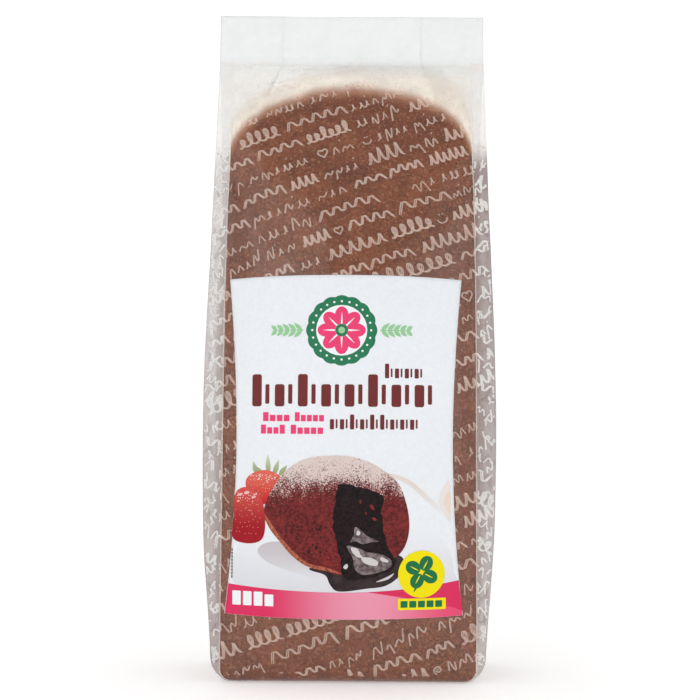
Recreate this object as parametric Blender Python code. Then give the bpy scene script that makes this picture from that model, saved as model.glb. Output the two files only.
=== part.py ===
"""Pouch of soft brown sugar: a clear bag sealed along its four corners, with a paper label.

Metres, +Z up.  The bag stands on its flat base, the middle of the base is the origin and
the labelled front faces -Y.  The pouch is one solid out to its film: the filled body, the
four corner fins and the flat header seal, lofted through level sections.  The label is a
thin plate that follows the curve of the front.
"""
import math

import bmesh
import bpy

MM = 0.001
OBJECT_NAME = "sugar_pouch"

# Body, from the base up
HEIGHT = 210 * MM                 # base to the top edge of the header
SEAL_FROM = 196 * MM              # where front and back meet and the header seal starts
BASE_ROUND = 4 * MM               # radius of the edge round the flat base
SEAM_HALF_WIDTH_BASE = 38.6 * MM  # from the middle to the corner seams, at the base
SEAM_HALF_WIDTH_TOP = 38.2 * MM   # and at the top
SEAM_HALF_DEPTH = 18.5 * MM       # half the distance from front seams to back seams
SEAL_HALF_DEPTH = 0.35 * MM       # the same in the header seal
SHOULDER_FROM = 95 * MM           # above this the front and back draw together
SHOULDER_CURVE = 1.7

# How far the filled faces swell past their seams
FRONT_SWELL = 11 * MM
SIDE_SWELL = 4.2 * MM
SWELL_FULL_FROM = 62 * MM
SWELL_RISE = 2.4                  # 1 is a straight rise from the base, more is rounder
SWELL_FULL_TO = 105 * MM
SWELL_TAPER = 1.35
SWELL_ROUNDNESS = 2.5             # 2 is a parabola, more is flatter in the middle
GUSSET_TUCK = 11 * MM             # inward fold of the side faces under the header
TUCK_FROM = 140 * MM
TUCK_DEEPEST = 182 * MM
TUCK_CREASE = 1.15

# Corner fins: two layers of film sealed together along each corner
FIN_THICK = 0.6 * MM
FIN_WIDTH_TOP = 4.5 * MM
FIN_WIDTH_EXTRA = 1.65 * MM       # the fins are this much wider half way up the fill
FIN_WIDEST_AT = 78 * MM
FIN_SPREAD = 48 * MM
FIN_WIDTH_BASE = 2.5 * MM
FIN_BASE_TO = 47 * MM
FIN_CORNER = 8 * MM               # radius that takes a fin into the base
FIN_LEAST = 0.4 * MM
FIN_TILT = math.radians(15)       # out of the plane of the front, away from the body
FIN_FUSE_FROM = 186 * MM          # front and back fins lie on each other above the seal
FIN_FUSED = 0.95

# Label
LABEL_BOTTOM = 20.1 * MM          # at its middle, and so is the top
LABEL_TOP = 122.4 * MM
LABEL_BOW_BOTTOM = 0.8 * MM       # the corners lie this much nearer the label's middle
LABEL_BOW_TOP = 0.6 * MM
LABEL_CENTRE_X = -1.5 * MM
LABEL_HALF_WIDTH_WAIST = 32.5 * MM
LABEL_HALF_WIDTH_TOP = 35.4 * MM
LABEL_HALF_WIDTH_BOTTOM = 35.8 * MM
LABEL_THICK = 0.4 * MM
LABEL_STANDOFF = 0.45 * MM        # from the film to the back of the label

# The back swells as far as the front and its label, so that the depth is even about y = 0
BACK_SWELL = FRONT_SWELL + LABEL_STANDOFF + LABEL_THICK

# Facets
FACE_STEPS = 18
SIDE_STEPS = 8
ROUND_STEPS = 5
WALL_STEPS = 30
LABEL_STEPS_ACROSS = 18
LABEL_STEPS_UP = 24
SHARP_ANGLE = math.radians(40)


def clamp(value):
    """value kept between 0 and 1."""
    return min(max(value, 0.0), 1.0)


def ease(value, start, end):
    """0 up to start and 1 from end on, with a smooth way between."""
    t = clamp((value - start) / (end - start))
    return t * t * (3 - 2 * t)


def crown(u, power=SWELL_ROUNDNESS):
    """Profile of a swelling: 1 in the middle, 0 at u = -1 and u = 1."""
    return 1 - abs(u) ** power


def corner_inset(z, radius):
    """How far a quarter round of this radius draws in at height z."""
    if z >= radius:
        return 0.0
    return radius - math.sqrt(radius ** 2 - (radius - z) ** 2)


def seam_half_width(z):
    straight = SEAM_HALF_WIDTH_BASE + (SEAM_HALF_WIDTH_TOP - SEAM_HALF_WIDTH_BASE) * z / HEIGHT
    return straight - corner_inset(z, BASE_ROUND)


def seam_half_depth(z):
    t = clamp((z - SHOULDER_FROM) / (SEAL_FROM - SHOULDER_FROM))
    open_depth = (SEAM_HALF_DEPTH - SEAL_HALF_DEPTH) * (1 - t ** SHOULDER_CURVE)
    return SEAL_HALF_DEPTH + open_depth - corner_inset(z, BASE_ROUND)


def swell(z, full):
    """How far the middle of a face stands past its seams at height z."""
    rise = 1 - (1 - clamp(z / SWELL_FULL_FROM)) ** SWELL_RISE
    t = clamp((z - SWELL_FULL_TO) / (SEAL_FROM - SWELL_FULL_TO))
    return full * rise * (1 - t ** SWELL_TAPER)


def gusset_swell(z):
    """How far the middle of a side face stands out, or is tucked in (negative)."""
    tuck = ease(z, TUCK_FROM, TUCK_DEEPEST) * (1 - ease(z, TUCK_DEEPEST, SEAL_FROM))
    return swell(z, SIDE_SWELL) * (1 - ease(z, TUCK_FROM, TUCK_DEEPEST)) - GUSSET_TUCK * tuck


def fin_width(z):
    bump = math.exp(-((z - FIN_WIDEST_AT) / FIN_SPREAD) ** 2)
    width = FIN_WIDTH_TOP + FIN_WIDTH_EXTRA * bump
    width += (FIN_WIDTH_BASE - FIN_WIDTH_TOP) * (1 - ease(z, 0, FIN_BASE_TO))
    rounding = corner_inset(z, FIN_CORNER) - corner_inset(z, BASE_ROUND)
    return max(width - rounding, FIN_LEAST)


def front_depth(x, z):
    """Distance from the middle plane to the front film at (x, z)."""
    u = x / seam_half_width(z)
    root = seam_half_depth(z) + FIN_THICK / 2
    return root + swell(z, FRONT_SWELL) * crown(u)


def fin_points(z):
    """A front fin at +X: its root and tip on the front, then its tip and root on the side."""
    tilt = FIN_TILT * (1 - ease(z, FIN_FUSE_FROM, SEAL_FROM))
    along = (math.cos(tilt), -math.sin(tilt))
    half = FIN_THICK / 2
    width = fin_width(z)
    root = (seam_half_width(z), -seam_half_depth(z))
    tip = (root[0] + width * along[0], root[1] + width * along[1])
    fused = FIN_FUSED * ease(z, FIN_FUSE_FROM, SEAL_FROM)
    side_root = (root[0] + fused * width * along[0], root[1] + fused * width * along[1])
    return [
        (root[0], root[1] - half),
        (tip[0], tip[1] - half),
        (tip[0], tip[1] + half),
        (side_root[0], side_root[1] + half),
    ]


def section(z):
    """The outline of the pouch at height z, anticlockwise from above."""
    fin = fin_points(z)
    half_width = fin[0][0]
    points = []
    for step in range(1, FACE_STEPS):
        u = -1 + 2 * step / FACE_STEPS
        points.append((u * half_width, fin[0][1] - swell(z, FRONT_SWELL) * crown(u)))
    points += fin
    side_x, side_y = fin[3]
    tuck_power = TUCK_CREASE if gusset_swell(z) < 0 else SWELL_ROUNDNESS
    for step in range(1, SIDE_STEPS):
        u = -1 + 2 * step / SIDE_STEPS
        points.append((side_x + gusset_swell(z) * crown(u, tuck_power), -u * side_y))
    points += [(x, -y) for x, y in reversed(fin)]
    for step in range(1, FACE_STEPS):
        u = 1 - 2 * step / FACE_STEPS
        points.append((u * half_width, -fin[0][1] + swell(z, BACK_SWELL) * crown(u)))
    points += [(-x, -y) for x, y in fin]
    for step in range(1, SIDE_STEPS):
        u = -1 + 2 * step / SIDE_STEPS
        points.append((-side_x - gusset_swell(z) * crown(u, tuck_power), u * side_y))
    points += [(-x, y) for x, y in reversed(fin)]
    return points


def section_heights():
    """Levels of the loft: close together round the base edge, even above it."""
    rounding = [
        BASE_ROUND * (1 - math.cos(step / ROUND_STEPS * math.pi / 2))
        for step in range(ROUND_STEPS)
    ]
    rise = HEIGHT - BASE_ROUND
    walls = [BASE_ROUND + rise * step / WALL_STEPS for step in range(WALL_STEPS + 1)]
    return rounding + walls


def loft(name, rings):
    """A mesh object through rings of equal length, with its first and last ring capped."""
    mesh = bmesh.new()
    levels = [[mesh.verts.new(point) for point in ring] for ring in rings]
    count = len(rings[0])
    for lower, upper in zip(levels, levels[1:]):
        for i in range(count):
            j = (i + 1) % count
            mesh.faces.new((lower[i], lower[j], upper[j], upper[i]))
    mesh.faces.new(reversed(levels[0]))
    mesh.faces.new(levels[-1])
    data = bpy.data.meshes.new(name)
    mesh.to_mesh(data)
    mesh.free()
    data.shade_smooth()
    data.set_sharp_from_angle(angle=SHARP_ANGLE)
    return bpy.data.objects.new(name, data)


def make_pouch():
    rings = [[(x, y, z) for x, y in section(z)] for z in section_heights()]
    return loft("pouch", rings)


def label_half_width(v):
    """Half the label's width at v, from 0 at its bottom edge to 1 at its top edge."""
    w = 2 * v - 1
    edge = LABEL_HALF_WIDTH_TOP if w > 0 else LABEL_HALF_WIDTH_BOTTOM
    return LABEL_HALF_WIDTH_WAIST + (edge - LABEL_HALF_WIDTH_WAIST) * w * w


def label_ring(v):
    """A strip round the label at v: along its printed face, then back along its rear."""
    rear = []
    for step in range(LABEL_STEPS_ACROSS + 1):
        u = -1 + 2 * step / LABEL_STEPS_ACROSS
        x = LABEL_CENTRE_X + u * label_half_width(v)
        bottom = LABEL_BOTTOM + LABEL_BOW_BOTTOM * u * u
        top = LABEL_TOP - LABEL_BOW_TOP * u * u
        z = bottom + (top - bottom) * v
        rear.append((x, -front_depth(x, z) - LABEL_STANDOFF, z))
    printed = [(x, y - LABEL_THICK, z) for x, y, z in rear]
    return printed + rear[::-1]


def make_label():
    rings = [label_ring(step / LABEL_STEPS_UP) for step in range(LABEL_STEPS_UP + 1)]
    return loft("label", rings)


def material(name, colour, roughness):
    made = bpy.data.materials.new(name)
    made.use_nodes = True
    shader = made.node_tree.nodes["Principled BSDF"]
    shader.inputs["Base Color"].default_value = (*colour, 1.0)
    shader.inputs["Roughness"].default_value = roughness
    shader.inputs["Metallic"].default_value = 0.0
    return made


def main():
    for old in list(bpy.data.objects):
        bpy.data.objects.remove(old, do_unlink=True)
    collection = bpy.data.collections.new(OBJECT_NAME)
    bpy.context.scene.collection.children.link(collection)
    pouch = make_pouch()
    pouch.data.materials.append(material("sugar_under_film", (0.23, 0.105, 0.065), 0.35))
    label = make_label()
    label.data.materials.append(material("label_paper", (0.82, 0.84, 0.86), 0.4))
    for made in (pouch, label):
        collection.objects.link(made)


main()
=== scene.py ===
"""Looks of the pouch of soft brown sugar: clear film, white scribbles, sugar and label.

Metres, +Z up, the labelled front faces -Y and the origin is the middle of the flat base.
The bag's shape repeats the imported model's: at each height it has a front, two sides and a
back, which meet in corner fins.  A place on the bag is a face, how far along it the place
lies (to the right, seen from outside) and its height.
"""
import math
import random

import bmesh
import bpy
import numpy as np
from mathutils import Matrix, Vector, geometry


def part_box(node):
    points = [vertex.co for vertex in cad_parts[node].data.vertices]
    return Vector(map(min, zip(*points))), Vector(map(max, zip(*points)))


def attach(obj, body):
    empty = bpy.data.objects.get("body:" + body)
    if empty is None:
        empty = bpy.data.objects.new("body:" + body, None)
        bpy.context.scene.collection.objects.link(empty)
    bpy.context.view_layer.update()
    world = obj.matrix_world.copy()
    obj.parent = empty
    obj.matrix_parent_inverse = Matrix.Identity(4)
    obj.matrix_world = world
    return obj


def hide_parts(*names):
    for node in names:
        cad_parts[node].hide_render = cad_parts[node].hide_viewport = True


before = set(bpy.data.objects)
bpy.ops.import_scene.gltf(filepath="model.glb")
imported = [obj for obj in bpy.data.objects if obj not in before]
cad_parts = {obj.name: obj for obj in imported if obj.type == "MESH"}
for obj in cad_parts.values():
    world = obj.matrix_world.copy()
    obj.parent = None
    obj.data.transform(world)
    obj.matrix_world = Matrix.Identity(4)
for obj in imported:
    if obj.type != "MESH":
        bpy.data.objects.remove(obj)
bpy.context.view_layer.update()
POUCH_LOW, POUCH_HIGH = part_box("pouch")
LABEL_LOW, LABEL_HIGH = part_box("label")

DRAWN_HEIGHT = 210                 # millimetres, the height that the sizes below are for
MM = (POUCH_HIGH.z - POUCH_LOW.z) / DRAWN_HEIGHT

# Body, from the base up
HEIGHT = DRAWN_HEIGHT * MM
SEAL_FROM = 196 * MM
BASE_ROUND = 4 * MM
SEAM_HALF_WIDTH_BASE = 38.6 * MM
SEAM_HALF_WIDTH_TOP = 38.2 * MM
SEAM_HALF_DEPTH = 18.5 * MM
SEAL_HALF_DEPTH = 0.12 * MM
SHOULDER_FROM = 95 * MM
SHOULDER_CURVE = 1.7
FRONT_SWELL = 11 * MM
BACK_SWELL = 11.85 * MM
SIDE_SWELL = 4.2 * MM
SWELL_FULL_FROM = 62 * MM
SWELL_RISE = 2.4
SWELL_FULL_TO = 105 * MM
SWELL_TAPER = 1.35
SWELL_ROUNDNESS = 2.5
GUSSET_TUCK = 11 * MM
GUSSET_TUCK_IN_SEAL = 16 * MM
TUCK_FROM = 140 * MM
TUCK_DEEPEST = 182 * MM
TUCK_CREASE = 1.15
BASE_HOLLOW = 0.8 * MM             # the middle of the base stands this much off the shelf

# Corner fins
FIN_THICK = 0.24 * MM
FIN_WIDTH_TOP = 4.5 * MM
FIN_WIDTH_EXTRA = 1.65 * MM
FIN_WIDEST_AT = 78 * MM
FIN_SPREAD = 48 * MM
FIN_WIDTH_BASE = 2.5 * MM
FIN_BASE_TO = 47 * MM
FIN_CORNER = 8 * MM
FIN_LEAST = 0.4 * MM
FIN_TILT = math.radians(15)
FIN_FUSE_FROM = 186 * MM
FIN_WAVE = 0.35 * MM

# Sugar
SUGAR_GAP = 0.2 * MM               # between the sugar and the film
SUGAR_PEAK_X = 4 * MM              # the line of its top on the front is a flat arch
SUGAR_LINE_FOOT = 160.8 * MM
SUGAR_LINE_RISE = 25.5 * MM
SUGAR_LINE_LEFT = 43.2 * MM
SUGAR_LINE_RIGHT = 34.8 * MM
SUGAR_LINE_POWER = 2.4             # 2 is an ellipse, more is flatter on top
SUGAR_HEAP = 1.6 * MM              # the middle of the top stands this much above the line
SUGAR_BASE = 0.25 * MM             # its underside stands this much off the shelf
SUGAR_ROUGH = 0.30 * MM            # how far its skin of grains is uneven
SUGAR_TOP_ROUGH = 0.5 * MM

# Film
HAZE_FROM = 186 * MM               # the header's milky weld begins to show here
SUGAR_SHADE_LEFT = (0.86, 0.29)         # how much painted shade and brown of the sugar behind it a fin gets, at the base and on top
SUGAR_SHADE_RIGHT = (0.65, 1.13)
SEAM_FOOT = 3 * MM                 # the seams' welds run from here
SEAM_HEAD = SEAL_FROM - 1.4 * MM   # up to here
BACK_SEAM = 10 * MM
BASE_FOLD_LENGTH = 66 * MM
BASE_FOLD_WIDTH = 14 * MM
DUST_FROM = 150 * MM
DUST_MOST = 0.94                   # share of the film that dust covers at the sugar's edge
DUST_LEAST = 0.26                  # and far above it
DUST_MORE_RIGHT = 0.12
DUST_IN_FOLD = 0.10

# Print on the film: the share that ink covers, and the scribbles' sizes in millimetres
INK_ON_SUGAR = 0.43
INK_ON_FIN = 0.80
INK_IN_HEAD = 0.06
SEAM_COVER = 0.5
SCRIPT_SLANT = math.radians(20)
ROW_PITCH = 6.3
THIN_STROKE = 0.47
BOLD_STROKE = 0.46
SCRIPT_FROM = 2
SCRIPT_REACH = {                   # to each side of the middle and up, by kind of face
    "wide": (45, 195),
    "narrow": (25, 176),
}

# Label
LABEL_BOTTOM = LABEL_LOW.z
LABEL_TOP = LABEL_HIGH.z
LABEL_BOW_BOTTOM = 0.8 * MM
LABEL_BOW_TOP = 0.6 * MM
LABEL_CENTRE_X = (LABEL_LOW.x + LABEL_HIGH.x) / 2
LABEL_HALF_WIDTH_BOTTOM = (LABEL_HIGH.x - LABEL_LOW.x) / 2
LABEL_HALF_WIDTH_TOP = LABEL_HALF_WIDTH_BOTTOM - 0.4 * MM
LABEL_HALF_WIDTH_WAIST = LABEL_HALF_WIDTH_BOTTOM - 3.3 * MM
LABEL_OFF_FILM = 0.12 * MM
PAPER_THICK = 0.14 * MM
INK_STEP = 0.015 * MM              # from one printed layer to the next
INK_GLOSS = 0.15

# The label's print, in millimetres
CAKE_PORES_LEFT = 300              # how many are tried, as some fall outside the cake
CAKE_PORES_RIGHT = 26
BERRY_ROWS = 8                     # of seeds
BERRY_COLUMNS = 6
BERRY_SPECKS = 34                  # of flour
BADGE_X = -2.5                     # the badge's middle
BADGE_Z = 105.6
BADGE_RADIUS = 10.6
BADGE_FIELD = 7.6                  # radius of its white middle
BADGE_DOT_RING = 8.75
BADGE_DOTS = 24
BADGE_LOBES = 16
BADGE_PETALS = 8
BADGE_PETAL_RING = 4.4
BADGE_SPRAY = (11.4, 20)           # how far out a spray starts and ends
BADGE_SPRAY_LEAVES = 5

# Stage, in metres, watts and radians, and the lens in millimetres
SWEEP_RADIUS = 1.7
SWEEP_CURVE = 0.5
SWEEP_HEIGHT = 1.1
SWEEP_TURNS = 96
LAMPS = {                          # where each stands, its size and its power
    "key": ((-0.55, -0.9, 0.6), 0.8, 1.4),
    "fill": ((0.75, -0.8, 0.45), 0.9, 0.75),
    "top": ((0.0, 0.1, 1.3), 1.0, 3.2),
}
CAMERA_SPOT = (0, -0.400, 0.0768)
CAMERA_TIPPED_UP = 0.0617
CAMERA_ROLL = 0.0063
CAMERA_LENS = 64.44
CLEAR_LAYERS = 24                  # how many clear layers a ray can pass

# Facets
PANEL_STEPS = {"front": 64, "back": 64, "right": 28, "left": 28}
FIN_STEPS = 4
SUGAR_STEPS = {"front": 104, "right": 40, "back": 104, "left": 40}
SUGAR_ROWS = 250

OUTWARD = {"front": (0, -1), "right": (1, 0), "back": (0, 1), "left": (-1, 0)}
WIDE_FACES = ("front", "back")


# ---------------------------------------------------------------- the bag's shape

def clamp(value):
    return np.clip(value, 0.0, 1.0)


def ease(value, start, end):
    """0 up to start and 1 from end on, with a smooth way between."""
    t = clamp((value - start) / (end - start))
    return t * t * (3 - 2 * t)


def crown(u, power=SWELL_ROUNDNESS):
    return 1 - np.abs(u) ** power


def corner_inset(z, radius):
    """How far a quarter round of this radius draws in at height z."""
    return radius - np.sqrt(radius ** 2 - np.clip(radius - z, 0, radius) ** 2)


def seam_half_width(z):
    straight = SEAM_HALF_WIDTH_BASE + (SEAM_HALF_WIDTH_TOP - SEAM_HALF_WIDTH_BASE) * z / HEIGHT
    return straight - corner_inset(z, BASE_ROUND)


def seam_half_depth(z):
    t = clamp((z - SHOULDER_FROM) / (SEAL_FROM - SHOULDER_FROM))
    open_depth = (SEAM_HALF_DEPTH - SEAL_HALF_DEPTH) * (1 - t ** SHOULDER_CURVE)
    return SEAL_HALF_DEPTH + open_depth - corner_inset(z, BASE_ROUND)


def swell(z, full):
    """How far the middle of a face stands past its seams at height z."""
    rise = 1 - (1 - clamp(z / SWELL_FULL_FROM)) ** SWELL_RISE
    t = clamp((z - SWELL_FULL_TO) / (SEAL_FROM - SWELL_FULL_TO))
    return full * rise * (1 - t ** SWELL_TAPER)


def side_swell(u, z):
    """How far a side face stands out at u across it, or is folded in (negative)."""
    tuck = ease(z, TUCK_FROM, TUCK_DEEPEST)
    folded = GUSSET_TUCK + (GUSSET_TUCK_IN_SEAL - GUSSET_TUCK) * ease(z, TUCK_DEEPEST, SEAL_FROM)
    middle = swell(z, SIDE_SWELL) * (1 - tuck) - folded * tuck
    return middle * np.where(middle < 0, crown(u, TUCK_CREASE), crown(u))


def fin_width(z):
    bump = np.exp(-((z - FIN_WIDEST_AT) / FIN_SPREAD) ** 2)
    width = FIN_WIDTH_TOP + FIN_WIDTH_EXTRA * bump
    width = width + (FIN_WIDTH_BASE - FIN_WIDTH_TOP) * (1 - ease(z, 0, FIN_BASE_TO))
    rounding = corner_inset(z, FIN_CORNER) - corner_inset(z, BASE_ROUND)
    return np.maximum(width - rounding, FIN_LEAST)


def fin_wave(z, corner_x, corner_y):
    """How far a fin's edge waves out of its plane, differently at each corner."""
    phase = 2 * corner_x + corner_y
    wave = 0.6 * np.sin(z / (9.1 * MM) + phase) + 0.4 * np.sin(z / (4.3 * MM) + 2.3 * phase)
    return FIN_WAVE * wave * ease(z, 0, 25 * MM) * (1 - ease(z, FIN_FUSE_FROM, SEAL_FROM))


def face_half(face, z):
    """Half a face's width between its seams."""
    if face in WIDE_FACES:
        return seam_half_width(z)
    return np.maximum(seam_half_depth(z) - FIN_THICK / 2, 0.02 * MM)


def dents(face, along, z):
    """Small dents in the film and the sugar pressed against it."""
    shift = 3.0 * list(OUTWARD).index(face)
    a = along / MM + 11 * shift
    h = z / MM
    broad = np.sin(a / 9.7 + 1.3 * np.sin(h / 21.0)) * np.sin(h / 14.3 + shift)
    fine = np.sin(a / 3.9 - h / 6.7 + 2.1 * np.sin(h / 25.0)) * np.sin(h / 5.1 + a / 12.0)
    creases = np.sin(a / 1.9 + h / 9.0) * ease(h, 150, 180) * (1 - ease(h, 188, 196))
    return MM * (0.16 * broad + 0.07 * fine + 0.10 * creases)


def film_point(face, along, z, lift=0.0):
    """Points x, y, z on the film's outside, or lift off it, as rows of an array."""
    along, z = np.broadcast_arrays(np.asarray(along, float), np.asarray(z, float))
    outward = OUTWARD[face]
    tangent = (-outward[1], outward[0])
    wide = face in WIDE_FACES
    sign = np.sign(along)
    half = face_half(face, z)
    on_panel = np.clip(along, -half, half)
    past = np.abs(along) - np.abs(on_panel)
    u = on_panel / half
    if wide:
        out = seam_half_depth(z) + FIN_THICK / 2
        out = out + swell(z, FRONT_SWELL if face == "front" else BACK_SWELL) * crown(u)
    else:
        out = seam_half_width(z) + side_swell(u, z)
    out = out + dents(face, on_panel, z) * crown(u, 6) * ease(z, 2 * MM, 12 * MM)
    corner_x = outward[0] + sign * tangent[0]
    corner_y = outward[1] + sign * tangent[1]
    wave = fin_wave(z, corner_x, corner_y) * (past / fin_width(z)) ** 2
    tilt = FIN_TILT * (1 - ease(z, FIN_FUSE_FROM, SEAL_FROM))
    if wide:
        move_along = past * np.cos(tilt)
        move_out = past * np.sin(tilt) + wave + lift
    else:
        on_fin = past > 0
        move_along = past * np.sin(tilt) + wave - np.where(on_fin, lift, 0)
        move_out = past * np.cos(tilt) + np.where(on_fin, 0, lift)
    move_along = on_panel + sign * move_along
    out = out + move_out
    x = outward[0] * out + tangent[0] * move_along
    y = outward[1] * out + tangent[1] * move_along
    return np.stack([x, y, z], axis=-1)


def sugar_line(x):
    """Height at which the sugar's top meets the film at x."""
    reach = np.where(x < SUGAR_PEAK_X, SUGAR_LINE_LEFT, SUGAR_LINE_RIGHT)
    t = np.clip((x - SUGAR_PEAK_X) / reach, -0.99, 0.99)
    h = x / MM
    uneven = 0.2 * np.sin(h / 2.3) + 0.12 * np.sin(h / 1.1 + 1.0) + 0.5 * np.sin(h / 6.5 + 2.0)
    arch = np.sqrt(1 - np.abs(t) ** SUGAR_LINE_POWER)
    return SUGAR_LINE_FOOT + SUGAR_LINE_RISE * arch + uneven * MM


# ---------------------------------------------------------------- meshes

def make_object(name, vertices, faces, materials, slots=None, smooth=True):
    """A mesh piece in the scene.  slots gives each face's material by its place in materials."""
    data = bpy.data.meshes.new(name)
    data.from_pydata(np.asarray(vertices).tolist(), [], faces)
    for made in materials:
        data.materials.append(made)
    if slots is not None:
        data.polygons.foreach_set("material_index", np.asarray(slots, np.int32))
    data.polygons.foreach_set("use_smooth", np.full(len(data.polygons), smooth))
    data.update()
    made = bpy.data.objects.new(name, data)
    bpy.context.scene.collection.objects.link(made)
    return made


def weld(made, distance=1e-6):
    """Joins the points of a mesh that lie on each other."""
    mesh = bmesh.new()
    mesh.from_mesh(made.data)
    bmesh.ops.remove_doubles(mesh, verts=mesh.verts, dist=distance)
    mesh.to_mesh(made.data)
    mesh.free()


def give_attribute(made, name, values):
    """Gives each point of a mesh a value that its material reads."""
    made.data.attributes.new(name, "FLOAT", "POINT").data.foreach_set("value", values)


def piece_points(made):
    points = np.zeros(len(made.data.vertices) * 3)
    made.data.vertices.foreach_get("co", points)
    return points.reshape(-1, 3)


def grid_faces(rows, columns, closed):
    """Quads between the rows of a grid of points, each row closed into a ring or not."""
    row, column = np.meshgrid(
        np.arange(rows - 1), np.arange(columns if closed else columns - 1), indexing="ij"
    )
    after = (column + 1) % columns
    quads = [row * columns + column, row * columns + after,
             (row + 1) * columns + after, (row + 1) * columns + column]
    return np.stack(quads, axis=-1).reshape(-1, 4)


def make_grids(name, grids, material):
    """A mesh piece of several separate grids of points."""
    quads = []
    first = 0
    for grid in grids:
        quads.append(grid_faces(*grid.shape[:2], closed=False)[:, ::-1] + first)
        first += grid.shape[0] * grid.shape[1]
    points = np.concatenate([grid.reshape(-1, 3) for grid in grids])
    return make_object(name, points, np.concatenate(quads).tolist(), [material])


def closing_rings(ring, steps, rise):
    """Rings that shrink to a line over y = 0, the last one rise higher than the first."""
    made = []
    for step in range(1, steps + 1):
        left = 1 - step / steps
        moved = ring.copy()
        moved[:, 1] *= left
        moved[:, 2] += rise * (1 - left * left)
        made.append(moved)
    return made


def heights(steps_round, steps_wall, top):
    """Levels from the base up: close together round the base edge, even above it."""
    angle = np.linspace(0, math.pi / 2, steps_round, endpoint=False)
    return np.concatenate([
        BASE_ROUND * (1 - np.cos(angle)), np.linspace(BASE_ROUND, top, steps_wall)
    ])


# ---------------------------------------------------------------- materials

def new_material(name):
    made = bpy.data.materials.new(name)
    made.use_nodes = True
    made.node_tree.nodes.clear()
    return made, made.node_tree


def add(tree, kind, settings=None, inputs=None):
    """A node with its settings; an input is a value or another node's output."""
    made = tree.nodes.new(kind)
    for key, value in (settings or {}).items():
        setattr(made, key, value)
    for key, value in (inputs or {}).items():
        if isinstance(value, bpy.types.NodeSocket):
            tree.links.new(value, made.inputs[key])
        else:
            made.inputs[key].default_value = value
    return made


def finish(made, tree, inputs, cover=None):
    """Gives a material its shader; by the rest of cover, what is behind it shows through."""
    shader = add(tree, "ShaderNodeBsdfPrincipled", None, inputs).outputs[0]
    if cover is not None:
        clear = add(tree, "ShaderNodeBsdfTransparent").outputs[0]
        mixed = add(tree, "ShaderNodeMixShader", None, {0: cover, 1: clear, 2: shader})
        shader = mixed.outputs[0]
    add(tree, "ShaderNodeOutputMaterial", None, {"Surface": shader})
    return made


def colour(red, green, blue):
    """A shader colour from an sRGB colour in 0 to 255."""
    linear = []
    for part in (red, green, blue):
        share = part / 255
        linear.append(share / 12.92 if share <= 0.04045 else ((share + 0.055) / 1.055) ** 2.4)
    return (*linear, 1.0)


def place(tree):
    """Where a point is on the piece, in metres."""
    return add(tree, "ShaderNodeTexCoord").outputs["Object"]


def along_axis(tree, axis):
    """The x, y or z of a point on the piece, in metres."""
    return add(tree, "ShaderNodeSeparateXYZ", None, {0: place(tree)}).outputs[axis]


def given(tree, name):
    """A value that the mesh carries for each of its points."""
    return add(tree, "ShaderNodeAttribute", {"attribute_name": name}).outputs["Fac"]


def grain(tree, size, detail=2.0):
    """Soft noise from 0 to 1 whose blotches are about size metres across."""
    made = add(tree, "ShaderNodeTexNoise", None, {
        "Vector": place(tree), "Scale": 1 / size, "Detail": detail,
    })
    return made.outputs["Fac"]


def cells(tree, size, feature="F1"):
    """Cells about size metres across, like packed grains."""
    return add(tree, "ShaderNodeTexVoronoi", {"feature": feature}, {
        "Vector": place(tree), "Scale": 1 / size,
    })


def span(tree, value, low, high, to_low=0.0, to_high=1.0):
    """value between low and high, eased and mapped to between to_low and to_high."""
    made = add(tree, "ShaderNodeMapRange", {"interpolation_type": "SMOOTHSTEP"}, {
        "Value": value, "From Min": low, "From Max": high, "To Min": to_low, "To Max": to_high,
    })
    return made.outputs["Result"]


def patchy(tree, size, low, high, detail=2.0):
    """Soft noise between low and high whose blotches are about size metres across."""
    return span(tree, grain(tree, size, detail), 0.3, 0.7, low, high)


def blend(tree, share, first, second):
    """The colour first where share is 0 and second where it is 1."""
    made = add(tree, "ShaderNodeMix", {"data_type": "RGBA"}, {0: share, 6: first, 7: second})
    return made.outputs[2]


def maths(tree, operation, first, second=0.5):
    return add(tree, "ShaderNodeMath", {"operation": operation}, {0: first, 1: second}).outputs[0]


def plus(tree, first, second):
    return maths(tree, "ADD", first, second)


def times(tree, first, second):
    return maths(tree, "MULTIPLY", first, second)


def bump(tree, height, depth):
    made = add(tree, "ShaderNodeBump", None, {"Height": height, "Distance": depth})
    return made.outputs["Normal"]


def ribs(tree, pitch, depth):
    """Fine level ribs pressed into a weld."""
    waves = add(tree, "ShaderNodeTexWave", {"bands_direction": "Z"}, {
        "Vector": place(tree), "Scale": 1 / pitch,
    })
    return bump(tree, waves.outputs["Fac"], depth)


def clear_film_material():
    """Clear film: only what it mirrors is seen, little from straight on and more aslant."""
    made, tree = new_material("clear_film")
    facing = add(tree, "ShaderNodeLayerWeight", None, {"Blend": 0.5}).outputs["Facing"]
    mirrored = plus(tree, maths(tree, "POWER", facing, 5.0), 0.045)
    rubbed = span(tree, grain(tree, 9 * MM, 3.0), 0.35, 0.7, 0.07, 0.16)
    return finish(made, tree, {
        "Base Color": (1, 1, 1, 1), "Metallic": 1.0, "Roughness": rubbed,
    }, mirrored)


def sealed_film_material():
    """Doubled film of the fins: hazy, with painted shade and painted brown light where the sugar
    lies behind it.
    """
    made, tree = new_material("sealed_film")
    behind = given(tree, "painted_sugar_shade")
    haze = times(tree, patchy(tree, 4 * MM, 0.92, 1.08), span(tree, behind, 0.0, 1.0, 0.34, 0.66))
    return finish(made, tree, {
        "Base Color": blend(tree, behind, colour(236, 235, 232), colour(150, 128, 122)),
        "Roughness": 0.16, "Specular IOR Level": 0.6,
    }, haze)


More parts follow.
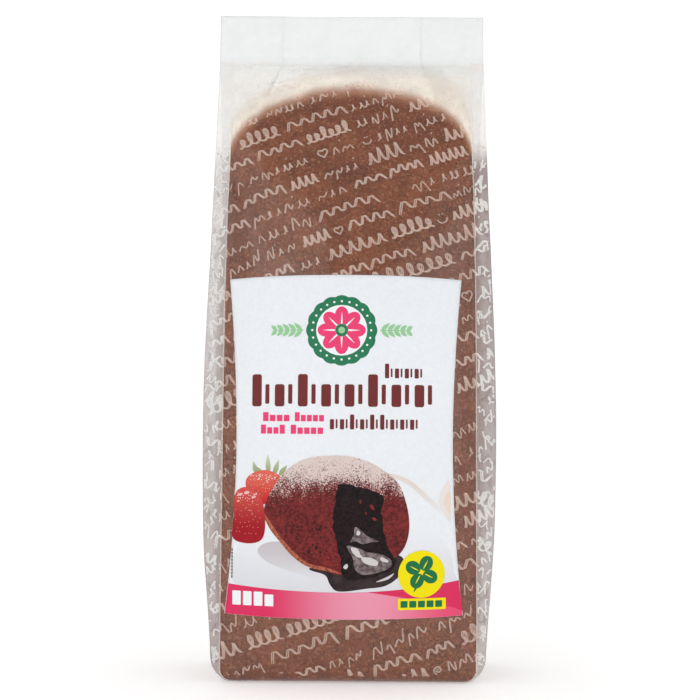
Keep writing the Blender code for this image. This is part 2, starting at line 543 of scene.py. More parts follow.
def lap_material():
    """A doubled strip of film, welded in fine ribs."""
    made, tree = new_material("lapped_film")
    return finish(made, tree, {
        "Base Color": colour(226, 218, 212), "Roughness": 0.2,
        "Normal": ribs(tree, 8 * MM, 0.05 * MM),
    }, patchy(tree, 5 * MM, 0.14, 0.22))


def header_film_material():
    """Film pressed together across the header, milky from its seal."""
    made, tree = new_material("header_film")
    milky = span(tree, given(tree, "pressed"), 0.0, 1.0, 0.05, 0.44)
    return finish(made, tree, {
        "Base Color": colour(228, 231, 230), "Roughness": 0.2, "Specular IOR Level": 0.6,
        "Normal": ribs(tree, 9 * MM, 0.02 * MM),
    }, times(tree, patchy(tree, 6 * MM, 0.92, 1.06), milky))


def dust_material():
    """Fine sugar dust that clings inside the film, thick at the sugar's edge, and warm over the
    sugar: a painted glow of the sugar's light through it.
    """
    made, tree = new_material("sugar_dust")
    dust = given(tree, "dust")
    specks = span(tree, grain(tree, 0.5 * MM, 1.0), 0.66, 0.74)
    base = blend(tree, span(tree, dust, 0.2, 0.8), colour(234, 230, 222), colour(246, 237, 224))
    base = blend(tree, specks, base, colour(204, 180, 160))
    return finish(made, tree, {
        # painted glow: warm over the sugar, as if its light came through the dust
        "Base Color": blend(tree, given(tree, "painted_sugar_glow"), base, colour(232, 184, 156)),
        "Roughness": 0.9, "Specular IOR Level": 0.1,
    }, times(tree, dust, patchy(tree, 7 * MM, 0.86, 1.10, 3.0)))


def sugar_material():
    """Damp brown sugar: fine crystals and clumps, painted shade in the hollows between grains and
    along a few fine crack lines, and painted light just under its top edge.
    """
    made, tree = new_material("soft_brown_sugar")
    crystals = cells(tree, 0.55 * MM).outputs["Color"]
    crystals = add(tree, "ShaderNodeSeparateColor", None, {0: crystals}).outputs[0]
    clumps = grain(tree, 5 * MM, 4.0)
    fine = grain(tree, 0.7 * MM)
    lines = maths(tree, "ABSOLUTE", maths(tree, "SUBTRACT", grain(tree, 13 * MM, 3.0), 0.5))
    # Painted shade along a few fine crack lines.
    painted_crack_shade = times(
        tree, span(tree, lines, 0.008, 0.0), span(tree, grain(tree, 21 * MM), 0.55, 0.62, 0.0, 0.7)
    )
    # Painted shade in the hollows between clumps of grains.
    between = cells(tree, 1.5 * MM, "DISTANCE_TO_EDGE").outputs["Distance"]
    painted_crevice_shade = times(
        tree, span(tree, between, 0.16, 0.02),
        span(tree, grain(tree, 24 * MM, 3.0), 0.52, 0.64, 0.0, 0.5),
    )
    patches = span(tree, grain(tree, 26 * MM), 0.3, 0.7)
    base = blend(tree, patches, colour(116, 61, 35), colour(135, 76, 46))
    for share, tint in (
        (span(tree, clumps, 0.50, 0.72, 0.0, 0.5), (155, 93, 60)),
        (span(tree, clumps, 0.46, 0.24, 0.0, 0.6), (90, 45, 26)),
        (span(tree, crystals, 0.80, 0.97, 0.0, 0.32), (183, 128, 90)),
        (span(tree, crystals, 0.25, 0.05, 0.0, 0.42), (66, 33, 20)),
        (span(tree, fine, 0.45, 0.25, 0.0, 0.35), (86, 43, 26)),
        (painted_crack_shade, (64, 32, 20)),
        (painted_crevice_shade, (64, 32, 20)),
        # painted light: lighter just under the sugar's top edge, in place of light that the dust
        # scatters on to it
        (times(tree, given(tree, "painted_light_near_top"), 0.6), (206, 146, 112)),
    ):
        base = blend(tree, share, base, colour(*tint))
    return finish(made, tree, {
        "Base Color": base,
        "Roughness": span(tree, crystals, 0.7, 1.0, 0.82, 0.45),
        "Specular IOR Level": 0.35,
        "Normal": bump(tree, plus(tree, fine, times(tree, crystals, 0.6)), 0.25 * MM),
    })


def ink_material(name, tint_thin, tint_thick):
    """White ink on the film, chalky, with one tint where it is thin and one where thick."""
    made, tree = new_material(name)
    cover = given(tree, "cover")
    chalk = span(tree, grain(tree, 0.5 * MM), 0.30, 0.55, 0.72, 1.0)
    thick = span(tree, cover, INK_ON_SUGAR, INK_ON_FIN)
    return finish(made, tree, {
        "Base Color": blend(tree, thick, tint_thin, tint_thick), "Roughness": 0.6,
    }, times(tree, chalk, cover))


def paper_material():
    """Smooth coated paper with a faint unevenness."""
    made, tree = new_material("label_paper")
    fibre = grain(tree, 1.2 * MM, 3.0)
    base = blend(tree, span(tree, fibre, 0.3, 0.7), colour(228, 231, 235), colour(232, 235, 239))
    return finish(made, tree, {
        "Base Color": base, "Roughness": span(tree, fibre, 0.3, 0.7, 0.38, 0.46),
        "Normal": bump(tree, fibre, 0.02 * MM),
    })


# ---------------------------------------------------------------- film and sugar

def film_columns(face, z):
    """How far along a face the film's points lie at height z, from fin tip to fin tip."""
    half = face_half(face, z)
    out = half + fin_width(z) * np.linspace(1, 1 / FIN_STEPS, FIN_STEPS)[:, None]
    panel = np.linspace(-1, 1, PANEL_STEPS[face] + 1)[:, None] * half
    return np.concatenate([-out, panel, out[::-1]])


def make_film(panel, sealed, header):
    """The closed bag, with its fins, its flat header and the folds of its sides."""
    levels = heights(6, 190, HEIGHT)
    rings = []
    on_fin = []
    on_wide = []
    for face in OUTWARD:
        columns = film_columns(face, levels)
        rings.append(film_point(face, columns, levels))
        edge = [True] * FIN_STEPS
        on_fin += edge + [False] * PANEL_STEPS[face] + edge + [True]
        on_wide += [face in WIDE_FACES] * len(columns)
    rings = np.concatenate(rings).transpose(1, 0, 2)
    top = rings[-1].copy()
    top[:, 1] = 0
    rings = np.stack(closing_rings(rings[0], 8, BASE_HOLLOW)[::-1] + list(rings) + [top])
    count = rings.shape[1]
    quads = grid_faces(len(rings), count, closed=True)
    column = quads[:, 0] % count
    z = rings.reshape(-1, 3)[quads[:, 0], 2]
    on_fin = np.array(on_fin)[column]
    on_wide = np.array(on_wide)[column]
    look = np.where(on_fin, 1, 0)
    look = np.where(on_wide & ~on_fin & (z > HAZE_FROM), 2, look)
    look = np.where(z > SEAL_FROM - 1.3 * MM, np.where(on_wide, 2, 0), look)
    made = make_object("film", rings.reshape(-1, 3), quads.tolist(), [panel, sealed, header], look)
    weld(made)
    x, _, z = piece_points(made).T
    # Painted shade and brown light of the sugar behind the fins, fading out towards the sugar's
    # top.
    left, right = (low + (high - low) * z / HEIGHT for low, high in (SUGAR_SHADE_LEFT, SUGAR_SHADE_RIGHT))
    behind = clamp(np.where(x > 0, right, left)) * (1 - ease(z, 156 * MM, 170 * MM))
    give_attribute(made, "painted_sugar_shade", behind)
    give_attribute(made, "pressed", ease(z, HAZE_FROM, SEAL_FROM + 2 * MM))
    return made


def dust_at(face, x, z):
    """How thick the sugar dust lies inside the film of a face, from 0 to 1."""
    above = z - sugar_line(x)
    to_right = ease(x, -26 * MM, 14 * MM)
    thin = DUST_LEAST + DUST_MORE_RIGHT * to_right if face in WIDE_FACES else DUST_IN_FOLD
    gone = ease(above / (9 * MM + 6 * MM * to_right), 0.08, 1.0)
    below_seal = 1 - 0.5 * ease(z, SEAL_FROM - 8 * MM, SEAL_FROM - 2 * MM)
    return below_seal * ease(above, -5 * MM, 0.4 * MM) * (DUST_MOST - (DUST_MOST - thin) * gone)


def make_dust(material):
    """The dusty inner side of the film in the empty head of the bag."""
    z = np.linspace(DUST_FROM, SEAM_HEAD, 60)[None, :]
    grids = {}
    for face in OUTWARD:
        share = np.linspace(-1, 1, PANEL_STEPS[face] + 1)[:, None]
        grids[face] = film_point(face, share * face_half(face, z), z, -0.08 * MM)
    made = make_grids("dust", list(grids.values()), material)
    dust = [dust_at(face, grid[..., 0], grid[..., 2]).ravel() for face, grid in grids.items()]
    give_attribute(made, "dust", np.concatenate(dust))
    x, _, z = piece_points(made).T
    # Painted glow of the sugar through the dust: full from 4 mm below the sugar's top edge, gone 1
    # mm above it.
    give_attribute(made, "painted_sugar_glow", 1 - ease(z - sugar_line(x), -4 * MM, 1 * MM))
    return made


def make_sugar(material, chance):
    """The sugar that fills the bag, with a grainy skin and an uneven heaped top."""
    foot = BASE_ROUND / 4 / SUGAR_LINE_FOOT * np.arange(4)
    up = np.concatenate([foot, np.linspace(0, 1, SUGAR_ROWS)[5:]])[None, :]
    parts = []
    for face, (out_x, out_y) in OUTWARD.items():
        even = np.linspace(-1, 1, SUGAR_STEPS[face])[:, None]
        share = np.sin(even * math.pi / 2) * 0.35 + even * 0.65
        top = sugar_line(SEAM_HALF_WIDTH_TOP * (out_x - share * out_y))
        z = SUGAR_BASE + up * (top - SUGAR_BASE)
        grains = chance.random(z.shape) ** 2 * SUGAR_ROUGH
        parts.append(film_point(face, share * (face_half(face, z) - SUGAR_GAP), z,
                                -SUGAR_GAP - grains))
    rings = np.concatenate(parts).transpose(1, 0, 2)
    bottom = closing_rings(rings[0], 4, BASE_HOLLOW)
    top = closing_rings(rings[-1], 16, SUGAR_HEAP)
    for ring in top[:-1]:
        ring[:, 2] += chance.random(len(ring)) * SUGAR_TOP_ROUGH
    rings = np.stack(bottom[::-1] + list(rings) + top)
    quads = grid_faces(len(rings), rings.shape[1], closed=True)
    made = make_object("sugar", rings.reshape(-1, 3), quads.tolist(), [material])
    weld(made)
    x, _, z = piece_points(made).T
    # Painted light just under the top edge, where the dust in front would scatter light on to the
    # sugar.
    give_attribute(made, "painted_light_near_top", ease(z - sugar_line(x), -7 * MM, -0.5 * MM))
    return made


def make_loose_grains(material, chance, count=2600):
    """Single crystals and crumbs that cling to the film above the sugar."""
    corners = np.array([(1, 0, 0), (0, 1, 0), (-1, 0, 0), (0, -1, 0), (0, 0, 1), (0, 0, -1)])
    faces = np.array([(0, 1, 4), (1, 2, 4), (2, 3, 4), (3, 0, 4),
                      (1, 0, 5), (2, 1, 5), (3, 2, 5), (0, 3, 5)])
    x = chance.uniform(-35, 35, count) * MM
    above = chance.exponential(1.6, count) * MM
    z = np.minimum(sugar_line(x) + above, SEAL_FROM - 3 * MM)
    size = chance.uniform(0.10, 0.26, count) * MM
    in_front = chance.random(count) < 0.5
    centres = np.where(
        in_front[:, None],
        film_point("front", x, z, -SUGAR_GAP - size),
        film_point("back", -x, z, -SUGAR_GAP - size),
    )
    shape = corners[None, :, :] * chance.uniform(0.6, 1.4, (count, 6, 1))
    turn = chance.uniform(0, 2 * math.pi, count)
    cos, sin = np.cos(turn)[:, None], np.sin(turn)[:, None]
    turned = np.stack([
        shape[:, :, 0] * cos - shape[:, :, 2] * sin, shape[:, :, 1],
        shape[:, :, 0] * sin + shape[:, :, 2] * cos,
    ], axis=-1)
    points = centres[:, None, :] + turned * size[:, None, None]
    triangles = faces[None, :, :] + 6 * np.arange(count)[:, None, None]
    return make_object(
        "loose_grains", points.reshape(-1, 3), triangles.reshape(-1, 3).tolist(), [material],
        smooth=False,
    )


def make_seam_lines(material):
    """The bright line where each fin leaves its panel: a weld, and a painted highlight along the
    crease.
    """
    z = np.linspace(SEAM_FOOT, SEAM_HEAD, 170)[:, None]
    across = np.array([0.2, -0.2])[None, :] * MM
    grids = []
    for face in WIDE_FACES:
        for sign in (-1, 1):
            along = sign * (seam_half_width(z) + 0.1 * MM + across)
            grids.append(film_point(face, along, z, 0.06 * MM))
    made = make_grids("seam_lines", grids, material)
    above_sugar = ease(piece_points(made)[:, 2], 150 * MM, 166 * MM)
    give_attribute(made, "cover", SEAM_COVER + (INK_IN_HEAD - SEAM_COVER) * above_sugar)
    return made


def make_back_seam(material):
    """The lap down the middle of the back, where the sheet's two edges are welded."""
    z = np.linspace(SEAM_FOOT, SEAM_HEAD, 150)[None, :]
    along = np.linspace(-BACK_SEAM / 2, BACK_SEAM / 2, 9)[:, None]
    return make_grids("back_seam", [film_point("back", along, z, 0.16 * MM)], material)


def make_base_fold(material):
    """The flap that closes the bottom, folded flat inside the hollow of the base."""
    x = np.linspace(-BASE_FOLD_LENGTH / 2, BASE_FOLD_LENGTH / 2, 25)[:, None]
    y = np.linspace(-BASE_FOLD_WIDTH / 2, BASE_FOLD_WIDTH / 2, 9)[None, :]
    left = y / seam_half_depth(0)
    z = BASE_HOLLOW * (1 - left * left) - 0.2 * MM
    return make_grids("base_fold", [np.stack(np.broadcast_arrays(x, y, z), axis=-1)], material)


# ---------------------------------------------------------------- scribbles on the film

def run_of_turns(chance, turns, step, height):
    """A random up-and-down line, now and then with a tall or a hanging turn."""
    points = []
    for turn in range(turns):
        x = step * (turn + chance.uniform(-0.3, 0.3))
        if turn % 2:
            y = height * chance.choice((1.0, 1.0, 1.0, 0.8, 1.6)) * chance.uniform(0.75, 1.1)
        else:
            y = height * chance.choice((0.0, 0.0, 0.0, 0.2, -0.6)) * chance.uniform(0.8, 1.2)
        points.append((x, y))
    return points


def looped_run(chance, turns, step, height):
    """A round running line that loops back on itself."""
    loop = chance.uniform(0.1, 0.34)
    points = []
    for part in range(9 * turns):
        angle = 2 * math.pi * part / 9
        x = step * (part / 9 + loop * math.sin(angle))
        points.append((x, height * (1 - math.cos(angle)) / 2))
    return points


def thin_word(chance, height):
    """Strokes of one thin scribble from x = 0 on, and how long it is."""
    strokes = []
    x = 0.0
    for part in range(chance.randint(2, 5)):
        step = height * chance.uniform(0.28, 0.42)
        if chance.random() < 0.45:
            turns = chance.randint(1, 2)
            run = looped_run(chance, turns, 2 * step, 0.85 * height)
            length = 2 * turns * step
        else:
            turns = chance.randint(3, 5)
            run = smoothed(run_of_turns(chance, turns, step, height), 2)
            length = (turns - 1) * step
        strokes.append([(x + px, py) for px, py in run])
        x += length + 0.32 * height
    if chance.random() < 0.4:
        dot = x * chance.uniform(0.2, 0.9)
        strokes.append([(dot, 1.4 * height), (dot + 0.14 * height, 1.6 * height)])
    return strokes, x


def bold_word(chance, height):
    """Strokes of one bold scribble, drawn twice a little apart, and how long it is."""
    kind = chance.choice(("saw", "saw", "saw", "saw", "wave", "wave", "coil"))
    length = height * chance.uniform(2.2, 4.6)
    if kind == "saw":
        teeth = 2 * max(3, round(length / height / 0.42 / 2)) + 1
        run = []
        for tooth in range(teeth):
            share = (tooth + chance.uniform(-0.25, 0.25)) / (teeth - 1)
            level = height * chance.uniform(0.75, 1.1) if tooth % 2 else 0.0
            level += 0.06 * height * chance.uniform(-1, 1)
            run.append((length * share, level))
    else:
        turns = max(3, round(length / height / 0.62))
        back = 0.42 if kind == "coil" else 0.12
        step = length / turns
        rises = [height * chance.uniform(0.6, 1.1) for _ in range(turns + 1)]
        run = []
        for part in range(12 * turns + 1):
            angle = 2 * math.pi * part / 12
            x = step * (part / 12 + back * math.sin(angle))
            run.append((x, rises[part // 12] * (0.5 - 0.5 * math.cos(angle))))
    again = [(x + 0.10 * height, y - 0.05 * height) for x, y in run]
    return [run, again], length


def heart(size):
    """Outline of a heart, size wide and standing on y = 0."""
    points = []
    for step in range(25):
        turn = 2 * math.pi * step / 24
        x = 16 * math.sin(turn) ** 3
        y = (13 * math.cos(turn) - 5 * math.cos(2 * turn) - 2 * math.cos(3 * turn)
             - math.cos(4 * turn))
        points.append((size * (x + 16) / 32, size * (y + 17) / 32))
    return [points]


def smile(size):
    """A smiling face: an open arc under two dots."""
    arc = [(size * (0.5 + 0.5 * math.cos(a)), size * (0.5 + 0.5 * math.sin(a)))
           for a in (math.radians(190 + 16 * step) for step in range(11))]
    eyes = [[(size * x, 0.75 * size), (size * x, 0.92 * size)] for x in (0.35, 0.65)]
    return [arc] + eyes


def curl(size):
    """A flat spiral."""
    turns = [0.5 * step for step in range(22)]
    return [[(size * (0.5 + 0.045 * a * math.cos(a)), size * (0.5 + 0.045 * a * math.sin(a)))
             for a in turns]]


def script_rows(chance, half_width, low, high):
    """Slanting rows of scribbles over one face, as (points, stroke width) in millimetres."""
    cos, sin = math.cos(SCRIPT_SLANT), math.sin(SCRIPT_SLANT)
    strokes = []
    base = low - 2 * half_width * math.tan(SCRIPT_SLANT)
    while base < high:
        x = chance.uniform(-3, 3)
        row_bold = chance.random() < 0.36
        while x * cos < 2 * half_width:
            if chance.random() < 0.07:
                size = chance.uniform(2.6, 3.6)
                marks, length = chance.choice((heart, smile, curl))(size), size
                width = BOLD_STROKE
            elif chance.random() < (0.8 if row_bold else 0.16):
                marks, length = bold_word(chance, chance.uniform(3.6, 5.0))
                width = BOLD_STROKE
            else:
                marks, length = thin_word(chance, chance.uniform(2.4, 3.0))
                width = THIN_STROKE
            for mark in marks:
                strokes.append(([
                    (-half_width + (x + px) * cos - py * sin, base + (x + px) * sin + py * cos)
                    for px, py in mark
                ], width))
            x += length + chance.uniform(1.2, 2.6)
            if chance.random() < 0.08:
                x += chance.uniform(4, 12)
        base += ROW_PITCH * chance.uniform(0.9, 1.12) / cos
    return strokes


def smoothed(points, rounds=1):
    """The polyline with its corners cut, as a pen would round them."""
    points = np.array(points)
    for _ in range(rounds):
        first, second = points[:-1], points[1:]
        cut = np.stack([first * 0.75 + second * 0.25, first * 0.25 + second * 0.75], axis=1)
        points = np.concatenate([points[:1], cut.reshape(-1, 2), points[-1:]])
    return points


def ribbon(points, width):
    """Quads along a polyline, narrower at its ends: points two by two."""
    step = np.gradient(points, axis=0)
    step /= np.maximum(np.linalg.norm(step, axis=1), 1e-9)[:, None]
    side = np.stack([-step[:, 1], step[:, 0]], axis=1) * width / 2
    side[[0, -1]] *= 0.55
    return np.stack([points + side, points - side], axis=1)


def under_label(x, z, margin):
    """True where the label covers the film by at least margin."""
    v = (z - LABEL_BOTTOM) / (LABEL_TOP - LABEL_BOTTOM)
    inside = (v > 0.02) & (v < 0.98)
    return inside & (np.abs(x - LABEL_CENTRE_X) < label_half_width(v) - margin)


def make_script(face, material, chance):
    """The scribbles of one face; a second, mirrored set shows through its fins."""
    half_width, high = SCRIPT_REACH["wide" if face in WIDE_FACES else "narrow"]
    points = []
    quads = []
    second = []
    count = 0
    for layer in range(2 if face in WIDE_FACES else 1):
        for mark, width in script_rows(chance, half_width, SCRIPT_FROM, high):
            pairs = ribbon(smoothed(mark), width * chance.uniform(0.85, 1.2))
            if layer:
                pairs[:, :, 0] *= -1
            steps = len(pairs) - 1
            index = count + 2 * np.arange(steps)[:, None] + np.array([0, 1, 3, 2])[None, :]
            points.append(pairs.reshape(-1, 2) * MM)
            second.append(np.full(2 * len(pairs), bool(layer)))
            quads.append(index)
            count += 2 * len(pairs)
    flat = np.concatenate(points)
    quads = np.concatenate(quads)
    second = np.concatenate(second)
    along, z = flat[:, 0], flat[:, 1]
    seam = face_half(face, z)
    edge = seam + fin_width(z) - 0.25 * MM
    kept = (np.abs(along) < edge) & (z > 2.2 * MM) & (z < high * MM)
    kept &= ~second | (np.abs(along) > seam + 0.2 * MM)
    if face == "front":
        kept &= ~under_label(along, z, 1 * MM)
    quads = quads[kept[quads].all(axis=1)]
    used, again = np.unique(quads, return_inverse=True)
    lifted = film_point(face, along[used], z[used], 0.04 * MM)
    made = make_object("script_" + face, lifted, again.reshape(-1, 4).tolist(), [material])
    on_fin = np.abs(along[used]) > seam[used] + 0.3 * MM
    above_sugar = ease(lifted[:, 2] - sugar_line(lifted[:, 0]), -2 * MM, 2 * MM)
    cover = np.where(on_fin, INK_ON_FIN, INK_ON_SUGAR)
    give_attribute(made, "cover", cover + (INK_IN_HEAD - cover) * above_sugar)
    return made


# ---------------------------------------------------------------- label

def label_half_width(v):
    """Half the label's width at v, from 0 at its bottom edge to 1 at its top edge."""
    w = 2 * v - 1
    edge = np.where(w > 0, LABEL_HALF_WIDTH_TOP, LABEL_HALF_WIDTH_BOTTOM)
    return LABEL_HALF_WIDTH_WAIST + (edge - LABEL_HALF_WIDTH_WAIST) * w * w


def label_point(x, z, lift=0.0):
    """Points on the label's printed face, or lift off it."""
    return film_point("front", x, z, LABEL_OFF_FILM + PAPER_THICK + lift)


def label_grid(across, up):
    """x and z of a grid of points over the label, rows from the bottom up."""
    v = np.linspace(0, 1, up)[:, None]
    u = np.linspace(-1, 1, across)[None, :]
    x = LABEL_CENTRE_X + u * label_half_width(v)
    bottom = LABEL_BOTTOM + LABEL_BOW_BOTTOM * u * u
    top = LABEL_TOP - LABEL_BOW_TOP * u * u
    return x, bottom + (top - bottom) * v


def make_label(material):
    """The sheet of paper that follows the front."""
    x, z = label_grid(61, 91)
    front = label_point(x, z).reshape(-1, 3)
    rear = label_point(x, z, -PAPER_THICK).reshape(-1, 3)
    up, across = x.shape
    face = grid_faces(up, across, closed=False)
    rim = np.concatenate([
        np.arange(across), np.arange(1, up) * across + across - 1,
        (up - 1) * across + np.arange(across - 2, -1, -1), np.arange(up - 2, 0, -1) * across,
    ])
    around = np.roll(rim, -1)
    count = len(front)
    sides = np.stack([rim + count, around + count, around, rim], axis=1)
    quads = np.concatenate([face, face[:, ::-1] + count, sides])
    return make_object("label_sheet", np.concatenate([front, rear]), quads.tolist(), [material])


# The label's print.  Its fields are drawn in millimetres, x from the bag's middle and z
# from the base, and laid on the paper in thin layers.

def edge_x(sign, z, inset=0.04):
    """Where the label's left (-1) or right (1) edge is at height z, in millimetres."""
    v = (z * MM - LABEL_BOTTOM) / (LABEL_TOP - LABEL_BOTTOM)
    return (LABEL_CENTRE_X + sign * label_half_width(v)) / MM - sign * inset


def disc(x, z, radius_x, radius_z=None, turn=0.0, steps=28):
    """An ellipse, turned by turn."""
    radius_z = radius_x if radius_z is None else radius_z
    cos, sin = math.cos(turn), math.sin(turn)
    points = []
    for step in range(steps):
        angle = 2 * math.pi * step / steps
        a, b = radius_x * math.cos(angle), radius_z * math.sin(angle)
        points.append((x + a * cos - b * sin, z + a * sin + b * cos))
    return points


def block(left, bottom, right, top, round_by=0.4):
    """A rectangle with round corners."""
    radius = min(round_by, (right - left) / 2, (top - bottom) / 2)
    points = []
    for x, z, first in ((right - radius, top - radius, 0), (left + radius, top - radius, 90),
                        (left + radius, bottom + radius, 180),
                        (right - radius, bottom + radius, 270)):
        for step in range(5):
            angle = math.radians(first + 22.5 * step)
            points.append((x + radius * math.cos(angle), z + radius * math.sin(angle)))
    return points


def round_loop(points, steps=7):
    """A smooth closed outline through the points (Catmull-Rom)."""
    knots = np.array(points, float)
    before, after, beyond = np.roll(knots, 1, 0), np.roll(knots, -1, 0), np.roll(knots, -2, 0)
    t = np.linspace(0, 1, steps, endpoint=False)[None, :, None]
    a, b, c, d = (part[:, None, :] for part in (before, knots, after, beyond))
    curve = 0.5 * (2 * b + (c - a) * t + (2 * a - 5 * b + 4 * c - d) * t ** 2
                   + (3 * b - a - 3 * c + d) * t ** 3)
    return [tuple(point) for point in curve.reshape(-1, 2)]


def leaf(x, z, length, width, turn):
    """A pointed leaf that grows from (x, z) in the direction turn."""
    points = []
    for side in (1, -1):
        for step in range(9):
            share = step / 8 if side == 1 else 1 - step / 8
            along = length * share
            out = side * width / 2 * math.sin(math.pi * share ** 0.8)
            points.append((x + along * math.cos(turn) - out * math.sin(turn),
                           z + along * math.sin(turn) + out * math.cos(turn)))
    return points[:-1] if points[0] == points[-1] else points


def filled_points(outline, spacing):
    """Points of an even grid that lie inside the outline, clear of its edge."""
    low, high = outline.min(0), outline.max(0)
    grid = np.stack(np.meshgrid(
        np.arange(low[0] + spacing / 2, high[0], spacing),
        np.arange(low[1] + spacing / 2, high[1], spacing),
    ), axis=-1).reshape(-1, 2)
    if not len(grid):
        return grid
    start, end = outline, np.roll(outline, -1, 0)
    px, pz = grid[:, 0:1], grid[:, 1:2]
    rise = end[:, 1] - start[:, 1]
    rise = np.where(np.abs(rise) < 1e-12, 1e-12, rise)
    crossing = (start[:, 1] > pz) != (end[:, 1] > pz)
    reach = start[:, 0] + (pz - start[:, 1]) / rise * (end[:, 0] - start[:, 0])
    inside = (crossing & (px < reach)).sum(axis=1) % 2 == 1
    gap = np.hypot(px - start[:, 0], pz - start[:, 1]).min(axis=1)
    return grid[inside & (gap > spacing * 0.35)]


class LabelPrint:
    """Collects the printed fields of the label in one mesh."""

    spacing = 1.6

    def __init__(self, inks):
        self.inks = inks
        self.names = list(inks)
        self.points = []
        self.faces = []
        self.slots = []

    def field(self, outline, ink, layer):
        """Prints a closed outline in one ink, on the given layer."""
        rim = []
        for start, end in zip(outline, outline[1:] + outline[:1]):
            pieces = max(1, math.ceil(math.dist(start, end) / self.spacing))
            for piece in range(pieces):
                share = piece / pieces
                rim.append((start[0] + (end[0] - start[0]) * share,
                            start[1] + (end[1] - start[1]) * share))
        rim = np.array(rim)
        middle = filled_points(rim, self.spacing)
        flat = [Vector(point) for point in np.concatenate([rim, middle])]
        made = geometry.delaunay_2d_cdt(flat, [], [list(range(len(rim)))], 1, 1e-5)
        corners = np.array([tuple(point) for point in made[0]])
        laid = label_point(corners[:, 0] * MM, corners[:, 1] * MM, INK_STEP * layer)
        first = len(self.points)
        self.points += laid.tolist()
        for face in made[2]:
            a, b, c = (corners[index] for index in face[:3])
            turned = (b[0] - a[0]) * (c[1] - a[1]) - (b[1] - a[1]) * (c[0] - a[0])
            order = face if turned > 0 else face[::-1]
            self.faces.append([first + index for index in order])
            self.slots.append(self.names.index(ink))

    def shapes(self, outlines):
        """Prints rounded outlines, each with its ink and its layer."""
        for ink, layer, outline in outlines:
            self.field(round_loop(outline), ink, layer)

    def row_of_blocks(self, left, right, base, short, tall, pattern, ink, layer):
        """Plain blocks in place of a word: T in the pattern is a tall one, s a short one."""
        pitch = (right - left) / len(pattern)
        for number, kind in enumerate(pattern):
            start = left + number * pitch
            top = base + (tall if kind == "T" else short)
            self.field(block(start, base, start + 0.80 * pitch, top, 0.08 * pitch), ink, layer)

    def row_of_bars(self, left, right, base, short, tall, pattern, ink, layer):
        """A thick bar and a thin one beside it, over and over, in place of a title."""
        pitch = (right - left) / len(pattern)
        for number, kind in enumerate(pattern):
            start = left + number * pitch
            top = base + (tall if kind == "T" else short)
            middle = start + 0.42 * pitch
            low = base + 0.12 * short
            self.field(block(start, base, middle, top, 0.1 * pitch), ink, layer)
            self.field(block(middle + 0.16 * pitch, low, start + 0.76 * pitch, base + short,
                             0.05 * pitch), ink, layer)

    def finish(self, name):
        return make_object(name, self.points, self.faces, list(self.inks.values()), self.slots)


# The label's inks.  Shaded ones have their tint at one height and another at a second, and
# mottled ones mix two tints in blotches of one size; heights and sizes are in millimetres.
PLAIN_INKS = {
    "blur": (229, 222, 216),
    "blur middle": (231, 212, 198),
    "pore": (52, 22, 24),
    "flour": (226, 214, 210),
    "shine": (206, 200, 200),
    "berry shine": (240, 176, 166),
    "seed": (232, 170, 130),
    "band deep": (215, 48, 92),
    "green": (42, 120, 84),
    "pale green": (150, 200, 150),
    "pink": (232, 66, 116),
    "white": (238, 240, 242),
    "brown": (112, 46, 46),
    "yellow": (238, 222, 0),
    "dark green": (30, 112, 68),
    "grey": (90, 84, 88),
}
SHADED_INKS = {
    "plate": ((214, 215, 220), 24, (231, 234, 238), 50),
    "plate rim": ((222, 212, 204), 60, (231, 234, 238), 48),
    "shade": ((224, 226, 230), 28, (196, 190, 194), 42),
    "berry": ((158, 20, 34), 46, (208, 80, 74), 60),
    "berry back": ((190, 38, 40), 54, (218, 100, 86), 63),
    "leaf": ((150, 164, 118), 63, (206, 208, 186), 69),
}
MOTTLED_INKS = {
    "crumb": ((96, 28, 30), (134, 46, 45), 0.8),
    "crust": ((140, 72, 52), (186, 104, 78), 0.6),
    "chocolate": ((12, 6, 8), (36, 20, 23), 0.9),
    "sauce": ((40, 30, 33), (60, 47, 50), 3),
    "gloss": ((82, 68, 70), (134, 121, 122), 1.5),
}


def printed(made, tree, base, roughness=0.4):
    """Finishes an ink of the label."""
    return finish(made, tree, {
        "Base Color": base, "Roughness": roughness, "Specular IOR Level": INK_GLOSS,
    })


def plain_ink(name, tint):
    made, tree = new_material(name)
    return printed(made, tree, colour(*tint), patchy(tree, 0.35 * MM, 0.36, 0.44, 1.0))


def shaded_ink(name, first, first_z, second, second_z):
    """An ink that shades from one tint at one height to another at a second."""
    made, tree = new_material(name)
    share = span(tree, along_axis(tree, "Z"), first_z * MM, second_z * MM)
    base = blend(tree, share, colour(*first), colour(*second))
    return printed(made, tree, base, patchy(tree, 0.35 * MM, 0.36, 0.44, 1.0))


def mottled_ink(name, first, second, size):
    """An ink that mottles between two tints."""
    made, tree = new_material(name)
    share = span(tree, grain(tree, size * MM, 3.0), 0.35, 0.65)
    return printed(made, tree, blend(tree, share, colour(*first), colour(*second)))


def cake_ink(name):
    """Dark red crumb, dusted with icing sugar that thins out downwards."""
    made, tree = new_material(name)
    patches = grain(tree, 5 * MM)
    base = blend(
        tree, patchy(tree, 0.9 * MM, 0.0, 1.0, 3.0), colour(80, 24, 26), colour(126, 44, 43)
    )
    base = blend(tree, span(tree, patches, 0.5, 0.75, 0.0, 0.5), base, colour(144, 52, 47))
    aside = maths(tree, "DIVIDE", plus(tree, along_axis(tree, "X"), 4 * MM), 21 * MM)
    dome = times(tree, times(tree, aside, aside), 2.5 * MM)
    level = span(tree, plus(tree, along_axis(tree, "Z"), dome), 50 * MM, 69 * MM)
    flour = plus(tree, grain(tree, 0.38 * MM, 1.0), times(tree, patches, 0.5))
    flour = plus(tree, flour, times(tree, level, 0.72))
    dusted = span(tree, flour, 1.06, 1.40, 0.0, 0.92)
    return printed(made, tree, blend(tree, dusted, base, colour(222, 206, 200)), 0.42)


